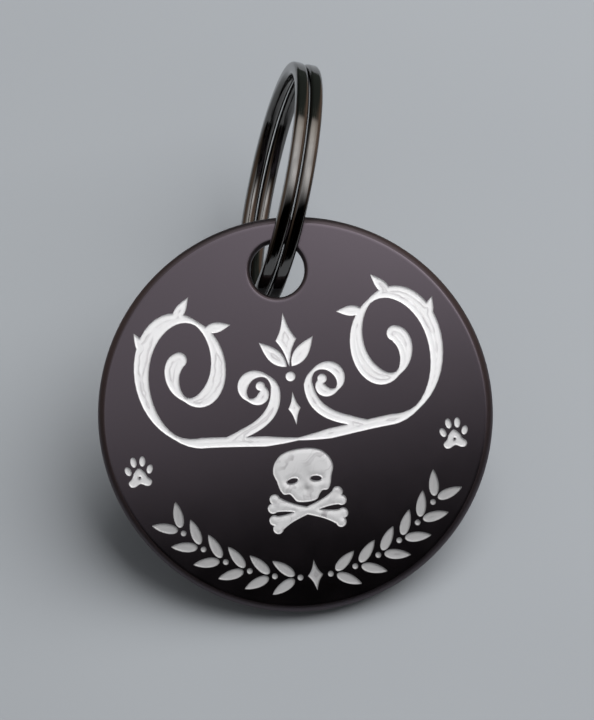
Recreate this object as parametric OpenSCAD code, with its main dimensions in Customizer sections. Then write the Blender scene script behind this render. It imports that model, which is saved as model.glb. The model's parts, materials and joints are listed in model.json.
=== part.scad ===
// Round pet tag hanging on a split ring, at real size in millimetres.
// The tag stands upright with its face towards -Y and its hole at the top.
// The origin is the highest point inside the ring, where a collar's own ring bears.

/* [Tag] */
// Diameter of the tag
tag_d = 32; // [24:0.5:40]
// Thickness of the tag
tag_t = 1.5; // [1.3:0.1:2]
// Radius that rounds the tag's rim on both faces
rim_r = 0.6; // [0.1:0.05:0.6]

/* [Hole] */
// Metal left between the hole and the edge of the tag
hole_margin = 2.05; // [1.5:0.05:4]
// Clearance all round the slanting wire, where the hole is narrowest
hole_clearance = 0.27; // [0.2:0.01:0.6]
// Width and depth of the chamfer at both mouths of the hole
hole_chamfer = 0.35; // [0.1:0.05:0.4]

/* [Split ring] */
// Outer diameter of the ring
ring_od = 21; // [19:0.5:30]
// Width of the wire, along the ring's axis
wire_w = 1.05; // [0.9:0.05:1.4]
// Thickness of the wire, from the inside of the ring to its outside
wire_t = 1.15; // [1:0.05:1.6]
// Radius on the wire's two outer edges
wire_outer_r = 0.42; // [0.1:0.01:0.42]
// Radius on the wire's two inner edges
wire_inner_r = 0.3; // [0.1:0.01:0.42]
// Gap between the two turns of wire
turn_gap = 0.1; // [0.05:0.01:0.2]
// Gap between each end of the wire and the step that it faces
end_gap = 0.3; // [0.2:0.05:1]
// Length of the bevel that eases each end of the wire
end_bevel = 0.35; // [0.2:0.05:0.6]
// Angle round the ring in which the wire steps over from one turn to the other
step_angle = 24; // [16:1:40]
// Place of that step, counted from the front of the ring over its top
step_place = 245; // [100:1:260]

/* [How the ring sits in the hole] */
// Angle by which the ring leans to the right of the tag's upright
ring_lean = 18.3; // [0:0.1:25]
// Angle by which the ring is turned out of square with the tag's face
ring_turn = 10; // [0:0.5:20]
// Angle from the front of the ring down to the place where it passes through the hole
hold_angle = 48.5; // [45:0.5:90]

/* [Hidden] */

// Straight pieces that a quarter round is drawn with, on the wire and on the tag's rim
corner_steps = 4;
// Sections along the step of the wire, and facets round a full circle
step_sections = 12;
circle_facets = 120;
// Angles by which the step and the bevelled ends start inside the plain turns that they carry on
root_angle = 2;
bevel_root_angle = 0.4;
// Size of the wire in its step and at its eased ends, as shares of the plain wire
step_section_share = 0.97;
end_section_share = 0.66;
// Play of the wire in the hole to the side and down, as shares of the hole's clearance
side_play_share = -1;
down_play_share = -0.9;
// Length by which a cut runs out past the face that it opens
overrun = 0.5;

tag_r = tag_d / 2;
turn_pitch = wire_w + turn_gap;
ring_w = turn_pitch + wire_w;
ring_outer_r = ring_od / 2;
ring_mid_r = ring_outer_r - wire_t / 2;
ring_inner_r = ring_outer_r - wire_t;

// Directions in the tag's own frame: from the ring's centre to its front, and to its top
front_dir = [sin(ring_turn), -cos(ring_turn), 0];
top_dir = [sin(ring_lean) * cos(ring_turn), sin(ring_lean) * sin(ring_turn), cos(ring_lean)];

// The wire runs through the tag on a slant, so its cut through the tag is longer than the wire is thick
slant = acos(-(sin(hold_angle) * front_dir + cos(hold_angle) * top_dir).y);
wire_cut = wire_t / cos(slant) + tag_t * tan(slant);
hole_r = norm([wire_cut, ring_w]) / 2 + hole_clearance;
hole_z = tag_r - hole_margin - hole_r;

// The ring's centre follows from the place where its wire passes through the hole
wire_place = [side_play_share * hole_clearance, 0, hole_z + down_play_share * hole_clearance];
ring_centre = wire_place
    - ring_mid_r * (cos(hold_angle) * front_dir - sin(hold_angle) * top_dir);
loop_top = ring_centre + ring_inner_r * top_dir;

// Angles round the ring, counted from its front: the step, and the two free ends of the wire
step_start = step_place - step_angle / 2;
step_end = step_place + step_angle / 2;
end_angle = (end_gap + end_bevel) / ring_mid_r * 180 / PI;
bevel_angle = end_bevel / ring_mid_r * 180 / PI;
turn_angle = 360 - step_angle - end_angle;

// Points of an arc with radius r about [x, y], from angle a0 to a1
function arc(x, y, r, a0, a1) =
    [for (i = [0:corner_steps]) let (a = a0 + (a1 - a0) * i / corner_steps)
        [x + r * cos(a), y + r * sin(a)]];

// The wire's section about its own centre: x points out of the ring and y runs along its axis
function wire_section() =
    let (o = wire_outer_r, n = wire_inner_r, x = wire_t / 2, y = wire_w / 2)
    concat(
        arc(x - o, y - o, o, 0, 90),
        arc(n - x, y - n, n, 90, 180),
        arc(n - x, n - y, n, 180, 270),
        arc(x - o, o - y, o, 270, 360)
    );

// One section of the wire, at an angle round the ring and a height along its axis, drawn at a share of its size
function placed_section(angle, height, share) =
    [for (p = wire_section()) let (r = ring_mid_r + share * p.x)
        [r * cos(angle), r * sin(angle), height + share * p.y]];

// Height of the wire along its step, from 0 to 1, level at both ends
function eased(t) = t * t * (3 - 2 * t);

// Sections of the wire in its step. They start and end inside the plain turns.
function step_rings() =
    let (from = step_start - root_angle, to = step_end + root_angle)
    [for (i = [0:step_sections])
        let (
            a = from + (to - from) * i / step_sections,
            t = min(1, max(0, (a - step_start) / step_angle))
        )
        placed_section(a, turn_pitch * (eased(t) - 1 / 2), step_section_share)];

// Sections of a free end, in the order of their angle. It tapers from just inside its turn, which
// stops at angle a, and dir says which way it points.
function end_rings(a, height, dir) =
    let (
        root = placed_section(a - dir * bevel_root_angle, height, step_section_share),
        tip = placed_section(a + dir * bevel_angle, height, end_section_share)
    )
    dir > 0 ? [root, tip] : [tip, root];

// Least distance between the points of two lists of sections
function least_gap(some, others) =
    min([for (a = some) for (p = a) for (b = others) for (q = b) norm(p - q)]);

// Solid through sections that all have the same number of points
module loft(rings) {
    sides = len(rings[0]);
    last = len(rings) - 1;
    points = [for (ring = rings) each ring];
    function at(ring, side) = ring * sides + side % sides;
    walls = [for (k = [0:last - 1]) for (i = [0:sides - 1]) each [
        [at(k, i), at(k, i + 1), at(k + 1, i)],
        [at(k, i + 1), at(k + 1, i + 1), at(k + 1, i)]
    ]];
    caps = [for (i = [1:sides - 2]) each [
        [at(0, 0), at(0, i + 1), at(0, i)],
        [at(last, 0), at(last, i), at(last, i + 1)]
    ]];
    polyhedron(points, concat(walls, caps));
}

// One turn of plain wire, from a given angle round the ring
module turn(from, height)
    rotate([0, 0, from])
        translate([0, 0, height])
            rotate_extrude(angle = turn_angle, $fn = circle_facets)
                translate([ring_mid_r, 0]) polygon(wire_section());

// The whole wire, lying flat about the ring's own centre
module wound_wire() {
    first_from = step_end + end_angle;
    second_to = step_end + turn_angle;
    turn(first_from, -turn_pitch / 2);
    turn(step_end, turn_pitch / 2);
    loft(step_rings());
    loft(end_rings(first_from, -turn_pitch / 2, -1));
    loft(end_rings(second_to, turn_pitch / 2, 1));
}

// Half of the tag's outline, turned about the tag's centre: y runs through its thickness
module tag_outline() {
    h = tag_t / 2;
    polygon(concat(
        [[0, -h]],
        arc(tag_r - rim_r, rim_r - h, rim_r, -90, 0),
        arc(tag_r - rim_r, h - rim_r, rim_r, 0, 90),
        [[0, h]]
    ));
}

// The hole through the tag, with a chamfer at both mouths
module hole() {
    h = tag_t / 2;
    cylinder(h = tag_t + 2 * overrun, r = hole_r, center = true, $fn = circle_facets);
    for (side = [0, 1])
        mirror([0, 0, side])
            translate([0, 0, h - hole_chamfer])
                cylinder(
                    h = hole_chamfer + overrun,
                    r1 = hole_r,
                    r2 = hole_r + hole_chamfer + overrun,
                    $fn = circle_facets
                );
}

// The tag: a round blank with a rounded rim and one hole
module tag_disc()
    color([0.16, 0.14, 0.16])
        translate(-loop_top)
            rotate([90, 0, 0])
                difference() {
                    rotate_extrude($fn = circle_facets) tag_outline();
                    translate([0, hole_z, 0]) hole();
                }

// The split ring: one wire wound into two turns, set in the hole of the tag
module split_ring()
    color([0.3, 0.3, 0.31])
        translate(ring_centre - loop_top)
            rotate([0, ring_lean, ring_turn])
                rotate([90, 0, -90])
                    wound_wire();

echo(least_gap_of_wire = min(
    turn_gap,
    least_gap(step_rings(), end_rings(step_end + end_angle, -turn_pitch / 2, -1)),
    least_gap(step_rings(), end_rings(step_end + turn_angle, turn_pitch / 2, 1))
));

tag_disc();
split_ring();
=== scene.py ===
import json
import math

import bmesh
import bpy
from mathutils import Matrix, Vector, kdtree
from mathutils.bvhtree import BVHTree
from mathutils.geometry import delaunay_2d_cdt

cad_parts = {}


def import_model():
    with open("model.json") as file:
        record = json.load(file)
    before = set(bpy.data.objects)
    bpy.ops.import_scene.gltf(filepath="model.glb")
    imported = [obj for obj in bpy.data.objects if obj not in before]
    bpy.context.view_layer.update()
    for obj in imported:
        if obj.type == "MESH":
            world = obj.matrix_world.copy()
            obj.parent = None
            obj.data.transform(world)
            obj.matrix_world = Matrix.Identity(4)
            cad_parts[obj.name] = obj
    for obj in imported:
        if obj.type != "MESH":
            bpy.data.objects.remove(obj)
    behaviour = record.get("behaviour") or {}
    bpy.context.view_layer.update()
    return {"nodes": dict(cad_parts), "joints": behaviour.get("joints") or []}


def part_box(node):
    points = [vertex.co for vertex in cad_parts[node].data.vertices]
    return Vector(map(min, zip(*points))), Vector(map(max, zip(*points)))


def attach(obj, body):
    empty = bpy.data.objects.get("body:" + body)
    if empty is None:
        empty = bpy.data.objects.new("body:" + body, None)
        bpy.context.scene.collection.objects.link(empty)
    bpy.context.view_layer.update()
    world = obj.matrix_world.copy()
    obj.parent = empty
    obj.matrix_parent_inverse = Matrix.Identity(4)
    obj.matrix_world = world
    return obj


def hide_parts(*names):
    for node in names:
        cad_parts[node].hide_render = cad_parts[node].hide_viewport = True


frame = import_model()

# Round pet tag on a split ring. Sizes are in millimetres and angles in degrees, unless a comment
# says otherwise.
MM = 0.001

# The tag. Its place, radius and thickness come from the frame.
RIM_ROUND = 0.6
HOLE_CHAMFER = 0.35
RIM_SEGMENTS = 288
HOLE_SEGMENTS = 120
RIM_STEPS = 8
MOUTH_STEPS = 6
RIM_ROUGHNESS = 0.5
RIM_BLEND = 0.02
SHARP_ANGLE = 32
EDGE_MARGIN = 0.12
MERGE_DISTANCE = 1e-5

# The split ring
RING_OUTER = 10.5
WIRE_WIDTH = 1.05
WIRE_THICKNESS = 1.15
WIRE_OUTER_ROUND = 0.42
WIRE_INNER_ROUND = 0.3
TURN_GAP = 0.1
END_GAP = 0.3
END_BEVEL = 0.35
END_SHARE = 0.66
STEP_ANGLE = 24
STEP_PLACE = 245
RING_LEAN = 18.3
RING_TURN = 10
WIRE_SECTIONS = 900
CORNER_SEGMENTS = 7
RING_SHARP_ANGLE = 40

# The cut: its flank, the passes of the cutter on its floor, and the points that carry it
CUT_DEPTH = 0.11
WALL_SLOPE = math.tan(math.radians(52))
WALL_WIDTH = CUT_DEPTH / WALL_SLOPE
PASS_WIDTH = 0.36
PASS_RIDGE = 0.012
RIDGE_POWER = 1.5
RIDGE_START = 0.1
CUT_GRID = 0.065
GRID_CLEARANCE = 0.45 * CUT_GRID
EDGE_SAMPLE = 0.02
ON_EDGE = 1e-4

# Outlines of the marks. A broad nib draws the scrolls.
ROUND_POINTS = 28
NIB_ANGLE = 38
NIB_POWER = 1.3
NIB_START_SHARE = 0.25
SIDE_LEAF_WIDTH = 0.85
BONE_WAIST, BONE_FLARE = 0.31, 0.44
KNOB_RADIUS, KNOB_SPREAD = 0.43, 0.37

# The row's leaves and berries. The last four are shares of a leaf's width or length.
LEAF_POINTS, BERRY_POINTS = 22, 14
TIP_POWER = 0.3
LEAF_FULLNESS, LEAF_APART = 0.62, 0.2
BERRY_SHIFT, LEAF_SHIFT = -0.12, 0.1

# Where the marks stand, from the tag's centre
BONES = ((-2.62, -6.98, 2.72, -8.72), (-2.62, -8.66, 2.72, -6.96))
PAWS = ((-13.12, -3.05), (12.55, -3.1))
DIAMOND = (0, -13.1, 0.62, 1.25)
SKULL_X = 0.07
FIGURE_LOW, FIGURE_HIGH, FIGURE_SIDE = -9.8, -2.6, 3.8
ROW_INSIDE, PAW_INSIDE = 11.2, 11.4

# How the skull and the bones swell, and the direction of the passes across them
FIGURE_ROUND = 0.42
FIGURE_SWELL = 0.05
FIGURE_PASS_SHARE = 0.2

# Forms of the skull: how far each stands up, its distance from the skull's middle, its height on the
# tag, and its half width and half height
BROW = (0.035, 0.0, -3.95, 1.6, 0.9)
NOSE = (-0.045, 0.0, -6.02, 0.2, 0.28)
CHEEK = (0.02, 1.5, -5.85, 0.4, 0.3)
SOCKET = (-0.03, 0.95, -5.3, 0.62, 0.36)
TOOTH_GAP = (-0.02, 0.28, -6.75, 0.07, 0.25)

# Brightness of the bared metal, as shares of a broad mark's, and the darker places on the skull, in the same
# order as its forms. All of it is painted shade: the marks low on the tag are darker than the scrolls above
# them, each mark's flank is darker than its floor, and the skull is darker at its temples, eyes and nose.
LEAF_TONE, PAW_TONE, FIGURE_TONE, WALL_SHADE_TONE = 0.45, 0.76, 0.7, 0.55
FIGURE_BRIGHTEST = 1.06
# Painted shade on the skull's floor: how much darker, and where, laid out as its forms are
TEMPLE_SHADE = (0.16, 0.35, -4.5, 0.45, 0.6)
EYE_SHADE = (0.2, 0.2, -5.5, 0.4, 0.35)
NOSE_SHADE = (0.42, 0.14, -6.02, 0.42, 0.22)

# The camera: where it stands about the tag's centre, and where in the picture that centre lies
CAMERA_DISTANCE = 450
CAMERA_AZIMUTH = 0.5
CAMERA_ELEVATION = -0.2
CAMERA_ROLL = 7.2
PIXELS_PER_MM = 12.34
PICTURE = (594, 720)
CENTRE_PIXEL = (295.4, 414.3)
SENSOR = 36.0
CLIP_METRES = (0.01, 10)

# The table behind the tag. Its gap gives the soft shadow below the tag its width.
TABLE_TILT = 31.6
TABLE_SIZE = 900
TABLE_GAP = 0.35

# The light: a soft key lamp, given from the tag's centre, and an even sky
KEY_PLACE = (268, -276, 325)
KEY_SIZE = 570
KEY_POWER = 4.6
SKY_COLOUR, SKY_LEVEL = (0.97, 0.985, 1.0, 1.0), 0.19
BACKDROP_COLOUR = (0.40, 0.415, 0.44, 1.0)

# What the gloss mirrors. The window and the bright strip on its right side follow the height above
# the horizon, and the surround follows the angle to the right.
TENT_RADIUS = 90
TENT_SEGMENTS = 48
TENT_LEVEL = 2.5
WINDOW = [
    (-60, 0.0), (-8.5, 0.0), (-5, 0.042), (0, 0.134), (4, 0.195), (8, 0.26), (12, 0.32), (20, 0.41),
    (30, 0.54), (38, 0.61), (50, (0.58, 0.565, 0.55)), (64, (0.47, 0.45, 0.42)),
    (71, (0.34, 0.32, 0.30)), (75, (0.022, 0.026, 0.023)), (180, (0.022, 0.026, 0.023)),
]
BESIDE = [(-60, 0.0), (-8, 0.0), (-4, 0.15), (0, 0.3), (10, 0.46), (22, 0.7), (32, 0.54), (90, 0.3)]
SURROUND = [
    (-90, (0.08, 0.07, 0.06)), (-60, (0.12, 0.09, 0.07)), (-27, (0.13, 0.09, 0.065)),
    (27, (0.17, 0.12, 0.09)), (60, (0.18, 0.13, 0.10)), (90, (0.20, 0.15, 0.12)),
]
WINDOW_EDGE = (24, 34)
BESIDE_EDGE = (15, 20)
BESIDE_TOP = (40, 30)
SURROUND_FADE = (-0.3, 0.35)
LEAN_HEIGHTS, WINDOW_LEAN = (-4, 12), (-1.2, 1.6)

tag_low, tag_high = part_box("tag_disc")
TAG_CENTRE = (tag_low + tag_high) / 2
TAG_RADIUS = (tag_high.x - tag_low.x) / 2 / MM
TAG_HALF = (tag_high.y - tag_low.y) / 2 / MM
HINGE = Vector(frame["joints"][0]["pos_m"])
HOLE = ((HINGE.x - TAG_CENTRE.x) / MM, (HINGE.z - TAG_CENTRE.z) / MM)
HOLE_RADIUS = min(
    math.hypot(v.co.x - HINGE.x, v.co.z - HINGE.z) for v in frame["nodes"]["tag_disc"].data.vertices
) / MM


class Tree:
    """A node tree, built up by short calls."""

    def __init__(self, tree):
        self.tree = tree

    def put(self, socket, value):
        if isinstance(value, bpy.types.NodeSocket):
            self.tree.links.new(value, socket)
        else:
            socket.default_value = value

    def add(self, kind, inputs=None, **settings):
        node = self.tree.nodes.new(kind)
        for name, value in settings.items():
            setattr(node, name, value)
        for key, value in (inputs or {}).items():
            self.put(node.inputs[key], value)
        return node

    def math(self, operation, *values):
        node = self.add("ShaderNodeMath", operation=operation)
        for socket, value in zip(node.inputs, values):
            self.put(socket, value)
        return node.outputs[0]

    def ramp(self, value, stops):
        """Colours or grey levels along a value, as (place, colour) pairs."""
        node = self.add("ShaderNodeValToRGB", {"Fac": value})
        elements = node.color_ramp.elements
        while len(elements) < len(stops):
            elements.new(1.0)
        for element, (place, colour) in zip(elements, stops):
            element.position = place
            element.color = (*colour, 1.0) if isinstance(colour, tuple) else (colour, colour, colour, 1.0)
        return node.outputs["Color"]

    def span(self, value, low, high, to_low, to_high):
        node = self.add("ShaderNodeMapRange")
        for key, number in zip(("Value", "From Min", "From Max", "To Min", "To Max"),
                               (value, low, high, to_low, to_high)):
            self.put(node.inputs[key], number)
        return node.outputs["Result"]

    def axes(self, vector):
        return self.add("ShaderNodeSeparateXYZ", {"Vector": vector}).outputs

    def vector(self, **parts):
        return self.add("ShaderNodeCombineXYZ", parts).outputs[0]


# Finishes


def new_material(name):
    material = bpy.data.materials.new(name)
    material.use_nodes = True
    tree = Tree(material.node_tree)
    material.node_tree.nodes.clear()
    out = tree.add("ShaderNodeOutputMaterial")
    return material, tree, out


def object_place(tree):
    return tree.add("ShaderNodeTexCoord").outputs["Object"]


def named_value(tree, name):
    return tree.add("ShaderNodeAttribute", attribute_name=name).outputs


def object_noise(tree, grains, detail):
    """Noise on the object's own coordinates, with so many grains to the millimetre."""
    mapped = tree.add("ShaderNodeMapping", {"Vector": object_place(tree), "Scale": [grains / MM] * 3})
    noise = tree.add("ShaderNodeTexNoise", {
        "Vector": mapped.outputs["Vector"], "Scale": 1.0, "Detail": detail})
    return noise.outputs["Fac"]


def bump(tree, height, distance, strength):
    node = tree.add("ShaderNodeBump", {"Height": height, "Strength": strength, "Distance": distance * MM})
    return node.outputs["Normal"]


def black_anodised():
    """Satin anodised aluminium, near black under a soft violet gloss, and duller on its tumbled rim: rougher
    there, and with its gloss tinted darker all round as painted shade.
    """
    material, tree, out = new_material("black_anodised_satin")
    cloud = object_noise(tree, grains=0.35, detail=4)
    grain = object_noise(tree, grains=9.0, detail=2)
    colour = tree.ramp(cloud, [(0.35, (0.0014, 0.0012, 0.0013)), (0.65, (0.0024, 0.0019, 0.0022))])
    mottle = tree.math("ADD", cloud, tree.math("MULTIPLY", grain, 0.5))
    satin = tree.span(mottle, 0.5, 1.0, 0.11, 0.15)
    across = tree.axes(object_place(tree))["Y"]
    from_middle = tree.math("ABSOLUTE", tree.math("SUBTRACT", across, TAG_CENTRE.y))
    on_face = tree.span(from_middle, (TAG_HALF - RIM_BLEND) * MM, TAG_HALF * MM, 0.0, 1.0)
    shader = tree.add("ShaderNodeBsdfPrincipled", {
        "Base Color": colour,
        "Roughness": tree.span(on_face, 0.0, 1.0, RIM_ROUGHNESS, satin),
        "IOR": 1.8,
        "Specular IOR Level": 1.0,
        # Painted shade: the rim's gloss is tinted darker than the face's, all round the rim
        "Specular Tint": tree.ramp(on_face, [(0.0, (0.6, 0.51, 0.58)), (1.0, (1.0, 0.84, 0.98))]),
        "Normal": bump(tree, grain, distance=0.0012, strength=0.5),
    })
    tree.put(out.inputs["Surface"], shader.outputs[0])
    return material


def bright_cut():
    """Aluminium laid bare by the cutter, near white, with grey streaks along its passes."""
    material, tree, out = new_material("bright_cut_aluminium")
    line = named_value(tree, "pass_line")["Fac"]
    drift = object_noise(tree, grains=0.7, detail=2)
    chatter = object_noise(tree, grains=14.0, detail=2)
    row = tree.math("ADD", tree.math("MULTIPLY", line, 5.0), tree.math("MULTIPLY", drift, 4.0))
    lines = tree.add("ShaderNodeTexNoise", {"W": row, "Scale": 1.0, "Detail": 1.0}, noise_dimensions="1D")
    streak = tree.math("MULTIPLY", tree.span(lines.outputs["Fac"], 0.48, 0.68, 0.0, 1.0),
                       tree.span(drift, 0.38, 0.58, 0.1, 1.0))
    colour = tree.ramp(streak, [(0.0, (0.96, 0.955, 0.965)), (1.0, (0.54, 0.52, 0.54))])
    # The tone on each point scales the base colour and holds painted shade: darker marks low on the tag,
    # darker flanks and darker places on the skull
    tone = named_value(tree, "cut_tone_and_shade")["Fac"]
    toned = tree.add("ShaderNodeVectorMath", {"Vector": colour, "Scale": tone}, operation="SCALE")
    shader = tree.add("ShaderNodeBsdfPrincipled", {
        "Base Color": toned.outputs[0],
        "Metallic": 0.15,
        "Roughness": tree.span(tree.math("ADD", chatter, streak), 0.3, 1.5, 0.34, 0.5),
        "Normal": bump(tree, chatter, distance=0.004, strength=0.5),
    })
    tree.put(out.inputs["Surface"], shader.outputs[0])
    return material


def black_nickel():
    """Polished black nickel on steel, with fine marks drawn along the wire."""
    material, tree, out = new_material("polished_black_nickel")
    along = named_value(tree, "along_wire")["Fac"]
    section = tree.axes(named_value(tree, "wire_section")["Vector"])
    place = tree.vector(
        X=tree.math("MULTIPLY", along, 0.25),
        Y=tree.math("MULTIPLY", section["X"], 14.0 / MM),
        Z=tree.math("MULTIPLY", section["Y"], 14.0 / MM),
    )
    drawn = tree.add("ShaderNodeTexNoise", {"Vector": place, "Scale": 1.0, "Detail": 3.0}).outputs["Fac"]
    cloud = object_noise(tree, grains=0.6, detail=3)
    scuff = tree.span(tree.math("MULTIPLY", drawn, cloud), 0.27, 0.36, 0.0, 1.0)
    shader = tree.add("ShaderNodeBsdfPrincipled", {
        "Base Color": tree.ramp(scuff, [(0.0, (0.138, 0.133, 0.129)), (1.0, (0.17, 0.165, 0.161))]),
        "Metallic": 1.0,
        "Roughness": tree.span(scuff, 0.0, 1.0, 0.09, 0.2),
        "Normal": bump(tree, drawn, distance=0.0015, strength=0.4),
    })
    tree.put(out.inputs["Surface"], shader.outputs[0])
    return material


# Outlines of the engraved marks, in the tag's own frame: x to the right, z up, from its centre


def ellipse(x, z, rx, rz, turn=0.0, count=ROUND_POINTS):
    c, s = math.cos(math.radians(turn)), math.sin(math.radians(turn))
    points = []
    for i in range(count):
        a = math.tau * i / count
        u, v = rx * math.cos(a), rz * math.sin(a)
        points.append((x + u * c - v * s, z + u * s + v * c))
    return points


def circle(x, z, radius, count=ROUND_POINTS):
    return ellipse(x, z, radius, radius, count=count)


def lozenge(x, z, half_width, half_height, hollow=0.18, count=6):
    """A diamond whose sides are drawn in a little."""
    corners = [(half_width, 0), (0, half_height), (-half_width, 0), (0, -half_height)]
    points = []
    for (ax, az), (bx, bz) in zip(corners, corners[1:] + corners[:1]):
        for i in range(count):
            t = i / count
            inward = 1 - hollow * 4 * t * (1 - t)
            points.append((x + (ax + (bx - ax) * t) * inward, z + (az + (bz - az) * t) * inward))
    return points


def smooth_loop(points, steps=6):
    """A closed curve through a few points."""
    loop = []
    count = len(points)
    for i in range(count):
        a, b, c, d = (Vector(points[(i + k) % count]) for k in (-1, 0, 1, 2))
        for j in range(steps):
            t = j / steps
            loop.append(tuple(0.5 * (2 * b + (c - a) * t + (2 * a - 5 * b + 4 * c - d) * t * t
                                     + (3 * b - a - 3 * c + d) * t ** 3)))
    return loop


def mirrored_loop(top, half, bottom):
    """Points of an outline from its right half, with one point on its middle at the top and the bottom."""
    return [(0, top)] + half + [(0, bottom)] + [(-a, b) for a, b in reversed(half)]


def bezier(a, b, c, d, count=24):
    points = []
    for i in range(count + 1):
        t = i / count
        s = 1 - t
        points.append(tuple(Vector(a) * s ** 3 + Vector(b) * 3 * s * s * t + Vector(c) * 3 * s * t * t
                            + Vector(d) * t ** 3))
    return points


def spiral(x, z, start, sweep, r_start, r_end, stretch, count=64):
    points = []
    for i in range(count + 1):
        t = i / count
        a = math.radians(start + sweep * t)
        r = r_start + (r_end - r_start) * t
        points.append((x + r * math.cos(a), z + stretch * r * math.sin(a)))
    return points


def nib_stroke(path, thin, thick, taper):
    """Pieces of a stroke drawn with a broad nib. Its width follows its direction and tapers at its start."""
    path = [Vector(p) for p in path]
    sides = []
    for i, p in enumerate(path):
        along = (path[min(i + 1, len(path) - 1)] - path[max(i - 1, 0)]).normalized()
        swell = abs(math.sin(math.atan2(along.y, along.x) - math.radians(NIB_ANGLE)))
        width = thin + (thick - thin) * swell ** NIB_POWER
        width *= min(1.0, NIB_START_SHARE + i / (taper * len(path)))
        across = Vector((-along.y, along.x)) * width / 2
        sides.append((p - across, p + across, width / 2))
    pieces = []
    for (a, b, _), (c, d, _) in zip(sides, sides[1:]):
        pieces.append([tuple(a), tuple(c), tuple(d), tuple(b)])
    for p, (_, _, half) in ((path[0], sides[0]), (path[-1], sides[-1])):
        pieces.append(circle(p.x, p.y, half, count=16))
    return pieces


def leaf(x, z, turn, length, width, count=10):
    """A leaf with a point at both ends, fuller near its foot."""
    c, s = math.cos(math.radians(turn)), math.sin(math.radians(turn))
    outline = []
    for side in (1, -1):
        for i in range(count):
            t = i / count if side > 0 else 1 - i / count
            half = width / 2 * math.sin(math.pi * t ** 0.8) * side
            u = length * t
            outline.append((x + u * c + half * s, z + u * s - half * c))
    return outline


def scrollwork():
    """Broad-nib scrolls about a palmette, the same on both sides of the tag's centre line."""
    volute = (bezier((0.0, -2.0), (2.6, -2.0), (5.2, -1.5), (8.2, -1.34))
              + spiral(8.2, 4.6, start=-90, sweep=500, r_start=4.4, r_end=0.9, stretch=1.35)[1:])
    tendril = (bezier((6.6, -1.45), (3.9, -1.1), (1.35, -0.3), (1.35, 2.3))
               + spiral(2.9, 2.3, start=180, sweep=-400, r_start=1.55, r_end=0.5, stretch=1.0)[1:])
    half = nib_stroke(volute, thin=0.36, thick=1.4, taper=0.12)
    half.append(circle(*volute[-1], 0.55))
    half += nib_stroke(tendril, thin=0.28, thick=0.9, taper=0.1)
    half.append(circle(*tendril[-1], 0.38))
    for x, z, turn, length in ((11.3, 6.0, 68, 2.3), (8.9, 8.6, 128, 2.4), (6.5, 7.7, 176, 2.2)):
        half.append(leaf(x, z, turn, length, SIDE_LEAF_WIDTH))
    half.append(leaf(0.2, 3.9, turn=48, length=3.0, width=1.1))
    other_half = [[(-x, z) for x, z in piece] for piece in half]
    centre = [lozenge(0, 6.1, 0.85, 2.2), circle(0, 3.1, 0.4), lozenge(0, 0.5, 0.5, 1.35)]
    return half + other_half + centre


def skull():
    """Outline of the skull from its right half, and its eye sockets, which the cutter leaves."""
    half = [(0.95, -2.86), (1.7, -3.15), (2.25, -3.75), (2.45, -4.5), (2.22, -5.25), (2.08, -5.85),
            (1.8, -6.32), (1.35, -6.36), (1.1, -6.62), (0.78, -7.02)]
    outline = smooth_loop(mirrored_loop(-2.78, half, -7.14))
    cut = [[(a + SKULL_X, b) for a, b in outline]]
    kept = [ellipse(SKULL_X + side * 0.96, -5.32, 0.44, 0.2, turn=-8 * side, count=16) for side in (1, -1)]
    return cut, kept


def bone(from_x, from_z, to_x, to_z, count=16):
    """A shaft, drawn in at its middle, with two knobs at each end."""
    a, b = Vector((from_x, from_z)), Vector((to_x, to_z))
    along = (b - a).normalized()
    across = Vector((-along.y, along.x))
    rails = []
    for i in range(count + 1):
        t = i / count
        half = BONE_WAIST + BONE_FLARE * abs(2 * t - 1) ** 3
        p = a + (b - a) * t
        rails.append((p - across * half, p + across * half))
    pieces = [[tuple(p), tuple(r), tuple(s), tuple(q)] for (p, q), (r, s) in zip(rails, rails[1:])]
    for end in (a, b):
        for side in (1, -1):
            knob = end + across * KNOB_SPREAD * side
            pieces.append(circle(knob.x, knob.y, KNOB_RADIUS, count=20))
    return pieces


def paw(x, z):
    """Four toes and a pad, which leaves a dot uncut."""
    cut = []
    for side in (1, -1):
        cut.append(ellipse(x + side * 0.36, z + 0.82, 0.25, 0.42, turn=-side * 6, count=20))
        cut.append(ellipse(x + side * 0.88, z + 0.14, 0.25, 0.38, turn=-side * 20, count=20))
    half = [(0.42, -0.05), (0.62, -0.45), (0.95, -0.8), (0.8, -1.15), (0.45, -1.18)]
    cut.append([(x + a, z + b) for a, b in smooth_loop(mirrored_loop(0.3, half, -0.98))])
    return cut, [circle(x, z - 0.47, 0.09, count=8)]


def flat_outlines(obj):
    """The outline of each flat face of a mesh that lies in the tag's plane."""
    mesh = obj.data
    return [[(mesh.vertices[v].co.x, mesh.vertices[v].co.y) for v in face.vertices]
            for face in mesh.polygons]


# Geometry Nodes


def new_geometry_tree(name, values):
    """A tree with one named input for each value, and the identifiers of these inputs."""
    tree = bpy.data.node_groups.new(name, "GeometryNodeTree")
    identifiers = {}
    for label, value in values.items():
        kind = "NodeSocketInt" if isinstance(value, int) else "NodeSocketFloat"
        socket = tree.interface.new_socket(label, in_out="INPUT", socket_type=kind)
        identifiers[label] = socket.identifier
    tree.interface.new_socket("Geometry", in_out="OUTPUT", socket_type="NodeSocketGeometry")
    build = Tree(tree)
    given = build.add("NodeGroupInput").outputs
    out = build.add("NodeGroupOutput")
    return build, given, out, identifiers


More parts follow.
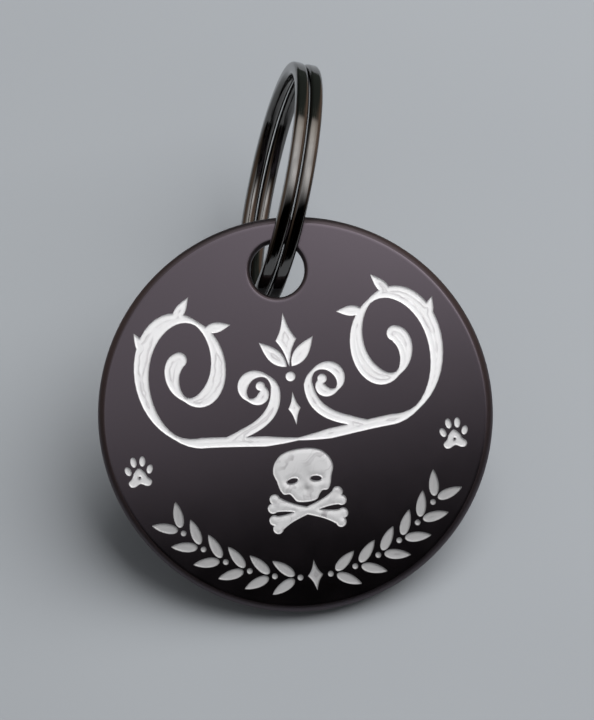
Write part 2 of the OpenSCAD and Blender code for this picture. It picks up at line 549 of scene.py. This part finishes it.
def grown(name, build, identifiers, values):
    """A plain mesh object that a tree makes from the given values."""
    seed = bpy.data.objects.new(name, bpy.data.meshes.new(name))
    bpy.context.scene.collection.objects.link(seed)
    modifier = seed.modifiers.new("build", "NODES")
    modifier.node_group = build.tree
    for label, value in values.items():
        modifier[identifiers[label]] = value
    graph = bpy.context.evaluated_depsgraph_get()
    mesh = bpy.data.meshes.new_from_object(seed.evaluated_get(graph), depsgraph=graph)
    seed.modifiers.remove(modifier)
    seed.data = mesh
    mesh.name = name
    return seed


def finish_tree(build, out, geometry, material):
    """Real geometry with its material."""
    real = build.add("GeometryNodeRealizeInstances", {"Geometry": geometry}).outputs[0]
    done = build.add("GeometryNodeSetMaterial", {"Geometry": real, "Material": material}).outputs[0]
    build.put(out.inputs[0], done)


def flat_disc(build, points, radius):
    disc = build.add("GeometryNodeMeshCircle", {"Vertices": points, "Radius": radius}, fill_type="NGON")
    return disc.outputs[0]


def moved(build, geometry, **change):
    return build.add("GeometryNodeTransform", {"Geometry": geometry, **change}).outputs[0]


def leaf_outline(build, given):
    """A leaf that points along X: a disc, drawn out to the leaf's size and narrowed towards its tip."""
    at = build.axes(build.add("GeometryNodeInputPosition").outputs[0])
    share = build.math("MULTIPLY", build.math("ADD", at["X"], 1.0), 0.5)
    fuller = build.math("POWER", build.math("SUBTRACT", 1.0, share), TIP_POWER)
    place = build.vector(
        X=build.math("MULTIPLY", share, given["Leaf Length"]),
        Y=build.math("MULTIPLY", build.math("MULTIPLY", at["Y"], fuller),
                     build.math("MULTIPLY", given["Leaf Width"], LEAF_FULLNESS)),
    )
    blank = flat_disc(build, LEAF_POINTS, 1.0)
    return build.add("GeometryNodeSetPosition", {"Geometry": blank, "Position": place}).outputs[0]


def leaf_pair(build, given):
    """A berry with a leaf on each side of it."""
    berry_shift = build.vector(X=build.math("MULTIPLY", given["Leaf Length"], BERRY_SHIFT))
    berry = moved(build, flat_disc(build, BERRY_POINTS, given["Berry Radius"]), Translation=berry_shift)
    one_leaf = leaf_outline(build, given)
    pair = build.add("GeometryNodeJoinGeometry")
    build.put(pair.inputs[0], berry)
    for side in (1.0, -1.0):
        turn = build.vector(Z=build.math("MULTIPLY", given["Leaf Spread"], side))
        shift = build.vector(
            X=build.math("MULTIPLY", given["Leaf Length"], LEAF_SHIFT),
            Y=build.math("MULTIPLY", given["Leaf Width"], LEAF_APART * side),
        )
        build.put(pair.inputs[0], moved(build, one_leaf, Rotation=turn, Translation=shift))
    return pair.outputs[0]


def leaf_row(material):
    """A row of leaf pairs and berries along an arc, as flat outlines."""
    values = {
        "Row Radius": 13.2,
        "First Angle": math.radians(6.5),
        "Last Angle": math.radians(51.5),
        "Pairs": 6,
        "Leaf Length": 2.15,
        "Leaf Width": 0.78,
        "Leaf Spread": math.radians(34),
        "Berry Radius": 0.24,
    }
    build, given, out, identifiers = new_geometry_tree("leaf_row", values)
    angle = build.add("ShaderNodeMapRange", {
        "Value": build.add("GeometryNodeInputIndex").outputs[0],
        "From Max": build.math("SUBTRACT", given["Pairs"], 1.0),
        "To Min": given["First Angle"],
        "To Max": given["Last Angle"],
    }).outputs["Result"]
    down = build.math("MULTIPLY", build.math("COSINE", angle), -1.0)
    place = build.vector(
        X=build.math("MULTIPLY", given["Row Radius"], build.math("SINE", angle)),
        Y=build.math("MULTIPLY", given["Row Radius"], down),
    )
    points = build.add("GeometryNodePoints", {"Count": given["Pairs"], "Position": place}).outputs[0]
    row = build.add("GeometryNodeInstanceOnPoints", {
        "Points": points, "Instance": leaf_pair(build, given), "Rotation": build.vector(Z=angle)}).outputs[0]
    both = build.add("GeometryNodeJoinGeometry")
    build.put(both.inputs[0], row)
    build.put(both.inputs[0], moved(build, row, Scale=(-1.0, 1.0, 1.0)))
    finish_tree(build, out, both.outputs[0], material)
    return grown("leaf_row", build, identifiers, values)


def ring_matrix():
    """From the ring's own frame, whose Z is its axis, to the row frame."""
    lean, turn = math.radians(RING_LEAN), math.radians(RING_TURN)
    rotation = (Matrix.Rotation(turn, 4, "Z") @ Matrix.Rotation(lean, 4, "Y")
                @ Matrix.Rotation(math.radians(-90), 4, "Z") @ Matrix.Rotation(math.radians(90), 4, "X"))
    top = Vector((math.sin(lean) * math.cos(turn), math.sin(lean) * math.sin(turn), math.cos(lean)))
    centre = -top * (RING_OUTER - WIRE_THICKNESS) * MM
    return Matrix.Translation(centre) @ rotation


def wire_values():
    """The wire's sizes and angles, from those of the ring."""
    middle = RING_OUTER - WIRE_THICKNESS / 2
    end_angle = math.degrees((END_GAP + END_BEVEL) / middle)
    bevel_angle = math.degrees(END_BEVEL / middle)
    step_end = STEP_PLACE + STEP_ANGLE / 2
    return {
        "Middle Radius": middle * MM,
        "Pitch": (WIRE_WIDTH + TURN_GAP) * MM,
        "First Angle": math.radians(step_end + end_angle - bevel_angle),
        "Last Angle": math.radians(step_end + 720 - STEP_ANGLE - end_angle + bevel_angle),
        "Step Start": math.radians(step_end - STEP_ANGLE + 360),
        "Step Angle": math.radians(STEP_ANGLE),
        "Wire Width": WIRE_WIDTH * MM,
        "Wire Thickness": WIRE_THICKNESS * MM,
        "Outer Corner": WIRE_OUTER_ROUND * MM,
        "Inner Corner": WIRE_INNER_ROUND * MM,
        "Bevel Angle": math.radians(bevel_angle),
        "End Share": END_SHARE,
        "Sections": WIRE_SECTIONS,
        "Corner Segments": CORNER_SEGMENTS,
    }


def wire_path(build, given):
    """The wire's middle line through both turns and the step between them, and its size along it."""
    line = build.add("GeometryNodeCurvePrimitiveLine").outputs[0]
    path = build.add("GeometryNodeResampleCurve", {"Curve": line, "Count": given["Sections"]}).outputs[0]
    angle = build.add("ShaderNodeMapRange", {
        "Value": build.add("GeometryNodeInputIndex").outputs[0],
        "From Max": build.math("SUBTRACT", given["Sections"], 1.0),
        "To Min": given["First Angle"],
        "To Max": given["Last Angle"],
    }).outputs["Result"]
    half_pitch = build.math("MULTIPLY", given["Pitch"], 0.5)
    height = build.add("ShaderNodeMapRange", {
        "Value": angle,
        "From Min": given["Step Start"],
        "From Max": build.math("ADD", given["Step Start"], given["Step Angle"]),
        "To Min": build.math("MULTIPLY", half_pitch, -1.0),
        "To Max": half_pitch,
    }, interpolation_type="SMOOTHSTEP").outputs["Result"]
    place = build.vector(
        X=build.math("MULTIPLY", given["Middle Radius"], build.math("COSINE", angle)),
        Y=build.math("MULTIPLY", given["Middle Radius"], build.math("SINE", angle)),
        Z=height,
    )
    from_end = build.math("MINIMUM", build.math("SUBTRACT", angle, given["First Angle"]),
                          build.math("SUBTRACT", given["Last Angle"], angle))
    size = build.add("ShaderNodeMapRange", {
        "Value": build.math("SQRT", build.math("DIVIDE", from_end, given["Bevel Angle"])),
        "To Min": given["End Share"],
        "To Max": 1.0,
    }).outputs["Result"]
    wound = build.add("GeometryNodeSetPosition", {"Geometry": path, "Position": place}).outputs[0]
    length = build.math("MULTIPLY", angle, build.math("DIVIDE", given["Middle Radius"], MM))
    wound = build.add("GeometryNodeStoreNamedAttribute", {
        "Geometry": wound, "Name": "along_wire", "Value": length,
    }, data_type="FLOAT", domain="POINT").outputs[0]
    return build.add("GeometryNodeSetCurveNormal", {"Curve": wound}, mode="Z_UP").outputs[0], size


def wire_profile(build, given):
    """The wire's section: flattened, with its outer corners rounder than its inner ones."""
    blank = build.add("GeometryNodeCurvePrimitiveQuadrilateral", {
        "Width": given["Wire Thickness"], "Height": given["Wire Width"]}, mode="RECTANGLE").outputs[0]
    at = build.add("GeometryNodeInputPosition").outputs[0]
    outside = build.math("LESS_THAN", build.axes(at)["X"], 0.0)
    corner = build.add("ShaderNodeMapRange", {
        "Value": outside, "To Min": given["Inner Corner"], "To Max": given["Outer Corner"]}).outputs["Result"]
    profile = build.add("GeometryNodeFilletCurve", {
        "Curve": blank, "Count": given["Corner Segments"], "Radius": corner}, mode="POLY").outputs[0]
    return build.add("GeometryNodeStoreNamedAttribute", {
        "Geometry": profile, "Name": "wire_section", "Value": at},
        data_type="FLOAT_VECTOR", domain="POINT").outputs[0]


def split_ring(material):
    """One wire wound into two turns, which steps over from one turn to the other."""
    values = wire_values()
    build, given, out, identifiers = new_geometry_tree("wound_wire", values)
    wound, size = wire_path(build, given)
    solid = build.add("GeometryNodeCurveToMesh", {
        "Curve": wound, "Profile Curve": wire_profile(build, given), "Scale": size, "Fill Caps": True})
    finish_tree(build, out, solid.outputs[0], material)
    ring = grown("wound_split_ring", build, identifiers, values)
    ring.data.transform(ring_matrix())
    ring.data.set_sharp_from_angle(angle=math.radians(RING_SHARP_ANGLE))
    return ring


# The tag, with its engraving cut into it


def turned_to_left(points):
    """The outline, running anticlockwise."""
    area = sum(ax * bz - bx * az for (ax, az), (bx, bz) in zip(points, points[1:] + points[:1]))
    return points if area > 0 else points[::-1]


def triangulated(loops, edges=(), loose=()):
    """Points and triangles inside the loops, with each triangle's list of the loops that hold it."""
    points, faces = [], []
    for loop in loops:
        faces.append(list(range(len(points), len(points) + len(loop))))
        points += turned_to_left(loop)
    first = len(points)
    points += list(loose)
    joined = [(first + a, first + b) for a, b in edges]
    out = delaunay_2d_cdt([Vector(p) for p in points], joined, faces, 1, MERGE_DISTANCE, True)
    return out[0], out[2], out[5]


def border(triangles):
    """Edges that only one of the triangles uses."""
    uses = {}
    for triangle in triangles:
        for a, b in zip(triangle, triangle[1:] + triangle[:1]):
            edge = (min(a, b), max(a, b))
            uses[edge] = uses.get(edge, 0) + 1
    return [edge for edge, count in uses.items() if count == 1]


class Engraving:
    """The region that the cutter clears: its edge, and what lies inside it."""

    def __init__(self, cuts, kept):
        points, triangles, holders = triangulated(cuts + kept)
        inside = []
        for triangle, held in zip(triangles, holders):
            in_cut = any(h < len(cuts) for h in held)
            in_kept = any(h >= len(cuts) for h in held)
            if in_cut and not in_kept:
                inside.append(triangle)
        edges = border(inside)
        used = sorted({v for edge in edges for v in edge})
        number = {v: i for i, v in enumerate(used)}
        self.points = [tuple(points[v]) for v in used]
        self.edges = [(number[a], number[b]) for a, b in edges]
        self.floor = BVHTree.FromPolygons([(p[0], p[1], 0) for p in points], inside)
        self.edge_tree = self.sampled_edge()

    def sampled_edge(self):
        samples = []
        for a, b in self.edges:
            a, b = Vector(self.points[a]), Vector(self.points[b])
            count = max(1, math.ceil((b - a).length / EDGE_SAMPLE))
            samples += [a + (b - a) * i / count for i in range(count + 1)]
        tree = kdtree.KDTree(len(samples))
        for i, p in enumerate(samples):
            tree.insert((p.x, p.y, 0), i)
        tree.balance()
        return tree

    def holds(self, x, z):
        return self.floor.ray_cast((x, z, 1), (0, 0, -1))[0] is not None

    def from_edge(self, x, z):
        return self.edge_tree.find((x, z, 0))[2]

    def inner_points(self):
        """Points on an even grid inside the region, clear of its edge."""
        low_x, high_x = min(p[0] for p in self.points), max(p[0] for p in self.points)
        low_z, high_z = min(p[1] for p in self.points), max(p[1] for p in self.points)
        rise = CUT_GRID * math.sqrt(3) / 2
        found = []
        for row in range(int((high_z - low_z) / rise) + 1):
            z = low_z + row * rise
            for column in range(int((high_x - low_x) / CUT_GRID) + 1):
                x = low_x + (column + 0.5 * (row % 2)) * CUT_GRID
                if self.holds(x, z) and self.from_edge(x, z) > GRID_CLEARANCE:
                    found.append((x, z))
        return found

    def cut_at(self, x, z):
        """Depth of the cut, place across the cutter's passes, and brightness."""
        distance = self.from_edge(x, z)
        if distance < ON_EDGE or not self.holds(x, z):
            return 0.0, 0.0, cut_tone_and_shade(x, z, 0.0)
        return (*cut_floor(x, z, distance), cut_tone_and_shade(x, z, distance))


def form_at(x, z, form, side=1):
    """What a form of the skull adds at a point. A side of -1 mirrors it about the skull's middle."""
    amount, off_middle, height, half_width, half_height = form
    along = (x - (SKULL_X + side * off_middle)) / half_width
    up = (z - height) / half_height
    return amount * math.exp(-along ** 2 - up ** 2)


def figure_relief(x, z, distance):
    """How far the skull and the bones stand up from the floor of their cut."""
    rise = FIGURE_SWELL * (1 - (1 - min(1.0, distance / FIGURE_ROUND)) ** 2)
    rise += form_at(x, z, BROW) + form_at(x, z, NOSE)
    for side in (1, -1):
        rise += sum(form_at(x, z, form, side) for form in (CHEEK, SOCKET, TOOTH_GAP))
    return rise


def in_figure(x, z):
    return FIGURE_LOW < z < FIGURE_HIGH and abs(x) < FIGURE_SIDE


def cut_floor(x, z, distance):
    """Depth of the cut at a distance from its edge, and the place across the cutter's passes."""
    if distance < WALL_WIDTH:
        return distance * WALL_SLOPE, distance
    inner = distance - WALL_WIDTH
    if in_figure(x, z):
        return CUT_DEPTH - figure_relief(x, z, inner), FIGURE_PASS_SHARE * (z - x) + TAG_RADIUS
    valley = abs(math.sin(math.pi * inner / PASS_WIDTH))
    ridge = PASS_RIDGE * (1 - valley) ** RIDGE_POWER * min(1.0, inner / RIDGE_START)
    return CUT_DEPTH - ridge, distance


def mark_tone_and_shade(x, z):
    """How bright the floor of a mark is set. The finer the mark, the greyer it is. The marks low on the tag
    are set darker than the scrolls above them, and the skull darker in places, as painted shade.
    """
    # Painted shade: the leaves, paws, skull and bones low on the tag are set darker than the scrolls above
    # them
    if math.hypot(x, z) > ROW_INSIDE and z < FIGURE_LOW / 2:
        return LEAF_TONE
    if abs(x) > PAW_INSIDE and z < 0:
        return PAW_TONE
    if z < FIGURE_HIGH and abs(x) < FIGURE_SIDE:
        # Painted shade at the skull's temples, eyes and nose
        shade = sum(form_at(x, z, form) for form in (TEMPLE_SHADE, EYE_SHADE, NOSE_SHADE))
        return FIGURE_TONE * (FIGURE_BRIGHTEST - shade)
    return 1.0


def cut_tone_and_shade(x, z, distance):
    """Brightness of the bared metal, set darker along the flank at the edge of each mark as painted shade."""
    return mark_tone_and_shade(x, z) * (WALL_SHADE_TONE + (1 - WALL_SHADE_TONE) * min(1.0, distance / WALL_WIDTH))


def marks(row_material):
    """All that is cut into the face: loops that are cleared, and loops within them that are kept."""
    cuts = scrollwork()
    skull_cut, kept = skull()
    cuts += skull_cut
    for ends in BONES:
        cuts += bone(*ends)
    for x, z in PAWS:
        toes, dot = paw(x, z)
        cuts += toes
        kept += dot
    cuts.append(lozenge(*DIAMOND))
    row = leaf_row(row_material)
    cuts += flat_outlines(row)
    bpy.data.objects.remove(row)
    return cuts, kept


def rim_profile():
    """Radius and place through the thickness, from the front face round the rim to the back face."""
    middle = TAG_RADIUS - RIM_ROUND
    points = []
    for start, y in ((-90, RIM_ROUND - TAG_HALF), (0, TAG_HALF - RIM_ROUND)):
        for i in range(RIM_STEPS + 1):
            a = math.radians(start + 90 * i / RIM_STEPS)
            points.append((middle + RIM_ROUND * math.cos(a), y + RIM_ROUND * math.sin(a)))
    return points


def hole_profile():
    """Radius and place through the thickness, from the front face through the hole to the back face."""
    eased = []
    for i in range(MOUTH_STEPS + 1):
        a = math.radians(90 * i / MOUTH_STEPS)
        radius = HOLE_RADIUS + HOLE_CHAMFER * (1 - math.sin(a))
        eased.append((radius, HOLE_CHAMFER * (1 - math.cos(a)) - TAG_HALF))
    return eased + [(radius, -y) for radius, y in reversed(eased)]


def add_sheet(shape, y, edges, loose, cut_of, holds):
    """A flat side of the tag from its rim to its hole, with the cut pressed into it where there is one."""
    rim = circle(0, 0, TAG_RADIUS - RIM_ROUND, RIM_SEGMENTS)
    mouth = circle(*HOLE, HOLE_RADIUS + HOLE_CHAMFER, HOLE_SEGMENTS)
    loops = [rim, mouth]
    layers = shape.verts.layers.float
    points, triangles, holders = triangulated(loops, edges, loose)
    made = []
    for x, z in points:
        depth, line, tone = cut_of(x, z)
        vertex = shape.verts.new((x, y + depth, z))
        vertex[layers["pass_line"]] = line
        vertex[layers["cut_tone_and_shade"]] = tone
        made.append(vertex)
    for triangle, held in zip(triangles, holders):
        if loops.index(mouth) in held:
            continue
        face = shape.faces.new([made[i] for i in triangle])
        middle = [sum(points[i][k] for i in triangle) / len(triangle) for k in (0, 1)]
        face.material_index = int(holds(*middle))


def add_band(shape, x, z, profile, count):
    """A surface of revolution about the line through x, z that runs through the thickness."""
    rings = [[shape.verts.new((px, y, pz)) for px, pz in circle(x, z, radius, count)]
             for radius, y in profile]
    for near, far in zip(rings, rings[1:]):
        for i in range(count):
            j = (i + 1) % count
            shape.faces.new([near[i], near[j], far[j], far[i]])


def close_and_smooth(shape):
    """Joins the sheets and bands, and smooths all but the edges of the cut and other sharp ones."""
    bmesh.ops.remove_doubles(shape, verts=shape.verts, dist=MERGE_DISTANCE)
    bmesh.ops.recalc_face_normals(shape, faces=shape.faces)
    for face in shape.faces:
        face.smooth = True
    for edge in shape.edges:
        one, other = edge.link_faces
        bent = edge.calc_face_angle() > math.radians(SHARP_ANGLE)
        edge.smooth = not bent and one.material_index == other.material_index


def engraved_tag(face_material, cut_material):
    engraving = Engraving(*marks(cut_material))
    margins = (circle(0, 0, TAG_RADIUS - RIM_ROUND - EDGE_MARGIN, RIM_SEGMENTS)
               + circle(*HOLE, HOLE_RADIUS + HOLE_CHAMFER + EDGE_MARGIN, HOLE_SEGMENTS))
    shape = bmesh.new()
    for name in ("pass_line", "cut_tone_and_shade"):
        shape.verts.layers.float.new(name)
    add_sheet(shape, -TAG_HALF, engraving.edges, engraving.points + engraving.inner_points() + margins,
              engraving.cut_at, engraving.holds)
    add_sheet(shape, TAG_HALF, [], margins, lambda x, z: (0.0, 0.0, 0.0), lambda x, z: False)
    add_band(shape, 0, 0, rim_profile(), RIM_SEGMENTS)
    add_band(shape, *HOLE, hole_profile(), HOLE_SEGMENTS)
    close_and_smooth(shape)
    bmesh.ops.transform(shape, matrix=Matrix.Translation(TAG_CENTRE) @ Matrix.Scale(MM, 4), verts=shape.verts)

    mesh = bpy.data.meshes.new("engraved_tag")
    shape.to_mesh(mesh)
    shape.free()
    mesh.materials.append(face_material)
    mesh.materials.append(cut_material)
    tag = bpy.data.objects.new("engraved_tag", mesh)
    bpy.context.scene.collection.objects.link(tag)
    return tag


# Stage, light and camera


def pale_table():
    """Matt and pale, and seen from above only."""
    material, tree, out = new_material("pale_table")
    mottle = object_noise(tree, grains=0.02, detail=2)
    colour = tree.ramp(mottle, [(0.3, (0.321, 0.337, 0.357)), (0.7, (0.335, 0.352, 0.371))])
    top = tree.add("ShaderNodeBsdfDiffuse", {"Color": colour})
    below = tree.math("MULTIPLY", tree.add("ShaderNodeNewGeometry").outputs["Backfacing"],
                      tree.add("ShaderNodeLightPath").outputs["Is Camera Ray"])
    mix = tree.add("ShaderNodeMixShader", {"Fac": below})
    tree.put(mix.inputs[1], top.outputs[0])
    tree.put(mix.inputs[2], tree.add("ShaderNodeBsdfTransparent").outputs[0])
    tree.put(out.inputs["Surface"], mix.outputs[0])
    return material


def table():
    """The table top behind the tag. The tag and the ring would touch it if it had no gap."""
    tilt = math.radians(TABLE_TILT)
    normal = Vector((0, -math.cos(tilt), math.sin(tilt)))
    up = Vector((0, math.sin(tilt), math.cos(tilt)))
    side = Vector((1, 0, 0))
    reach = min(normal.dot(v.co) for node in frame["nodes"].values() for v in node.data.vertices)
    middle = normal * (reach - TABLE_GAP * MM) + up * TAG_CENTRE.dot(up)
    half = TABLE_SIZE / 2 * MM
    corners = [middle + side * half * a + up * half * b for a, b in ((-1, -1), (1, -1), (1, 1), (-1, 1))]
    mesh = bpy.data.meshes.new("table")
    mesh.from_pydata([tuple(c) for c in corners], [], [(0, 1, 2, 3)])
    mesh.materials.append(pale_table())
    obj = bpy.data.objects.new("table", mesh)
    bpy.context.scene.collection.objects.link(obj)


def graded_light():
    """Light by direction: a pale window in front, brighter on its right side, in a brown surround."""
    material, tree, out = new_material("graded_tent")
    towards = tree.add("ShaderNodeVectorMath", {"Vector": object_place(tree)}, operation="NORMALIZE")
    place = tree.axes(towards.outputs[0])
    over = tree.math("ARCTAN2", place["Z"], tree.math("MULTIPLY", place["Y"], -1.0))
    aside = tree.math("ARCSINE", place["X"])

    def fade(angle, low, high, to_low, to_high):
        return tree.span(angle, math.radians(low), math.radians(high), to_low, to_high)

    def by_degrees(angle, stops):
        low, high = stops[0][0], stops[-1][0]
        share = fade(angle, low, high, 0.0, 1.0)
        return tree.ramp(share, [((degrees - low) / (high - low), colour) for degrees, colour in stops])

    inner, outer = WINDOW_EDGE
    in_window = tree.math("MULTIPLY", fade(aside, -outer, -inner, 0.0, 1.0),
                          fade(aside, inner, outer, 1.0, 0.0))
    on_right = tree.math("MULTIPLY", fade(aside, *BESIDE_EDGE, 0.0, 1.0), fade(over, *BESIDE_TOP, 0.0, 1.0))
    window = tree.add("ShaderNodeMix", {
        "Factor": on_right, "A": by_degrees(over, WINDOW), "B": by_degrees(over, BESIDE)},
        data_type="RGBA").outputs[2]
    colour = tree.add("ShaderNodeMix", {
        "Factor": in_window, "A": by_degrees(aside, SURROUND), "B": window}, data_type="RGBA").outputs[2]
    surround_level = tree.span(place["Z"], *SURROUND_FADE, 0.0, 1.0)
    lean = tree.math("MULTIPLY", place["X"], fade(over, *LEAN_HEIGHTS, *WINDOW_LEAN))
    level = tree.span(in_window, 0.0, 1.0, surround_level, tree.math("ADD", 1.0, lean))
    light = tree.add("ShaderNodeEmission", {
        "Color": colour, "Strength": tree.math("MULTIPLY", level, TENT_LEVEL)})
    tree.put(out.inputs["Surface"], light.outputs[0])
    return material


def light_tent():
    """A shell all round the tag, which only the gloss mirrors."""
    shell = bmesh.new()
    bmesh.ops.create_uvsphere(
        shell, u_segments=TENT_SEGMENTS, v_segments=TENT_SEGMENTS // 2, radius=TENT_RADIUS * MM)
    mesh = bpy.data.meshes.new("light_tent")
    shell.to_mesh(mesh)
    shell.free()
    mesh.materials.append(graded_light())
    tent = bpy.data.objects.new("light_tent", mesh)
    tent.location = TAG_CENTRE
    bpy.context.scene.collection.objects.link(tent)
    tent.visible_camera = False
    tent.visible_diffuse = False
    tent.visible_transmission = False
    tent.visible_shadow = False


def key_lamp():
    """A soft square lamp that looks at the tag and doesn't show in the gloss."""
    light = bpy.data.lights.new("key", "AREA")
    light.size = KEY_SIZE * MM
    light.energy = KEY_POWER
    lamp = bpy.data.objects.new("key", light)
    away = Vector(KEY_PLACE) * MM
    lamp.location = TAG_CENTRE + away
    lamp.rotation_mode = "QUATERNION"
    lamp.rotation_quaternion = away.to_track_quat("Z", "Y")
    bpy.context.scene.collection.objects.link(lamp)
    lamp.visible_camera = False
    lamp.visible_glossy = False


def world():
    """An even sky, behind which the camera and the gloss see a pale backdrop."""
    scene = bpy.context.scene
    scene.world = bpy.data.worlds.new("studio")
    scene.world.use_nodes = True
    tree = Tree(scene.world.node_tree)
    scene.world.node_tree.nodes.clear()
    path = tree.add("ShaderNodeLightPath").outputs
    seen = tree.math("MAXIMUM", path["Is Camera Ray"],
                     tree.math("MAXIMUM", path["Is Glossy Ray"], path["Is Transmission Ray"]))
    sky = tree.add("ShaderNodeBackground", {"Color": SKY_COLOUR, "Strength": SKY_LEVEL})
    backdrop = tree.add("ShaderNodeBackground", {"Color": BACKDROP_COLOUR, "Strength": 1.0})
    mix = tree.add("ShaderNodeMixShader", {"Fac": seen})
    tree.put(mix.inputs[1], sky.outputs[0])
    tree.put(mix.inputs[2], backdrop.outputs[0])
    out = tree.add("ShaderNodeOutputWorld")
    tree.put(out.inputs["Surface"], mix.outputs[0])


def camera():
    """At the photo's angle and scale. A shift in its own plane puts the tag where the photo has it."""
    scene = bpy.context.scene
    az, el, roll = (math.radians(a) for a in (CAMERA_AZIMUTH, CAMERA_ELEVATION, CAMERA_ROLL))
    back = Vector((math.sin(az) * math.cos(el), -math.cos(az) * math.cos(el), math.sin(el)))
    level = Vector((math.cos(az), math.sin(az), 0))
    upright = Vector((-math.sin(az) * math.sin(el), math.cos(az) * math.sin(el), math.cos(el)))
    right = level * math.cos(roll) - upright * math.sin(roll)
    up = level * math.sin(roll) + upright * math.cos(roll)
    shift_right = (CENTRE_PIXEL[0] - PICTURE[0] / 2) / PIXELS_PER_MM
    shift_up = (PICTURE[1] / 2 - CENTRE_PIXEL[1]) / PIXELS_PER_MM
    data = bpy.data.cameras.new("camera")
    data.sensor_width = SENSOR
    data.lens = CAMERA_DISTANCE * PIXELS_PER_MM * SENSOR / max(PICTURE)
    data.clip_start, data.clip_end = CLIP_METRES
    obj = bpy.data.objects.new("camera", data)
    obj.matrix_world = Matrix((
        (right.x, up.x, back.x, 0), (right.y, up.y, back.y, 0), (right.z, up.z, back.z, 0), (0, 0, 0, 1)))
    obj.location = TAG_CENTRE + (back * CAMERA_DISTANCE - right * shift_right - up * shift_up) * MM
    scene.collection.objects.link(obj)
    scene.camera = obj
    scene.view_settings.view_transform = "Standard"


camera()
world()
table()
light_tent()
key_lamp()

tag = engraved_tag(black_anodised(), bright_cut())
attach(tag, "tag")
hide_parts("tag_disc")

ring = split_ring(black_nickel())
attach(ring, "ring")
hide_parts("split_ring")
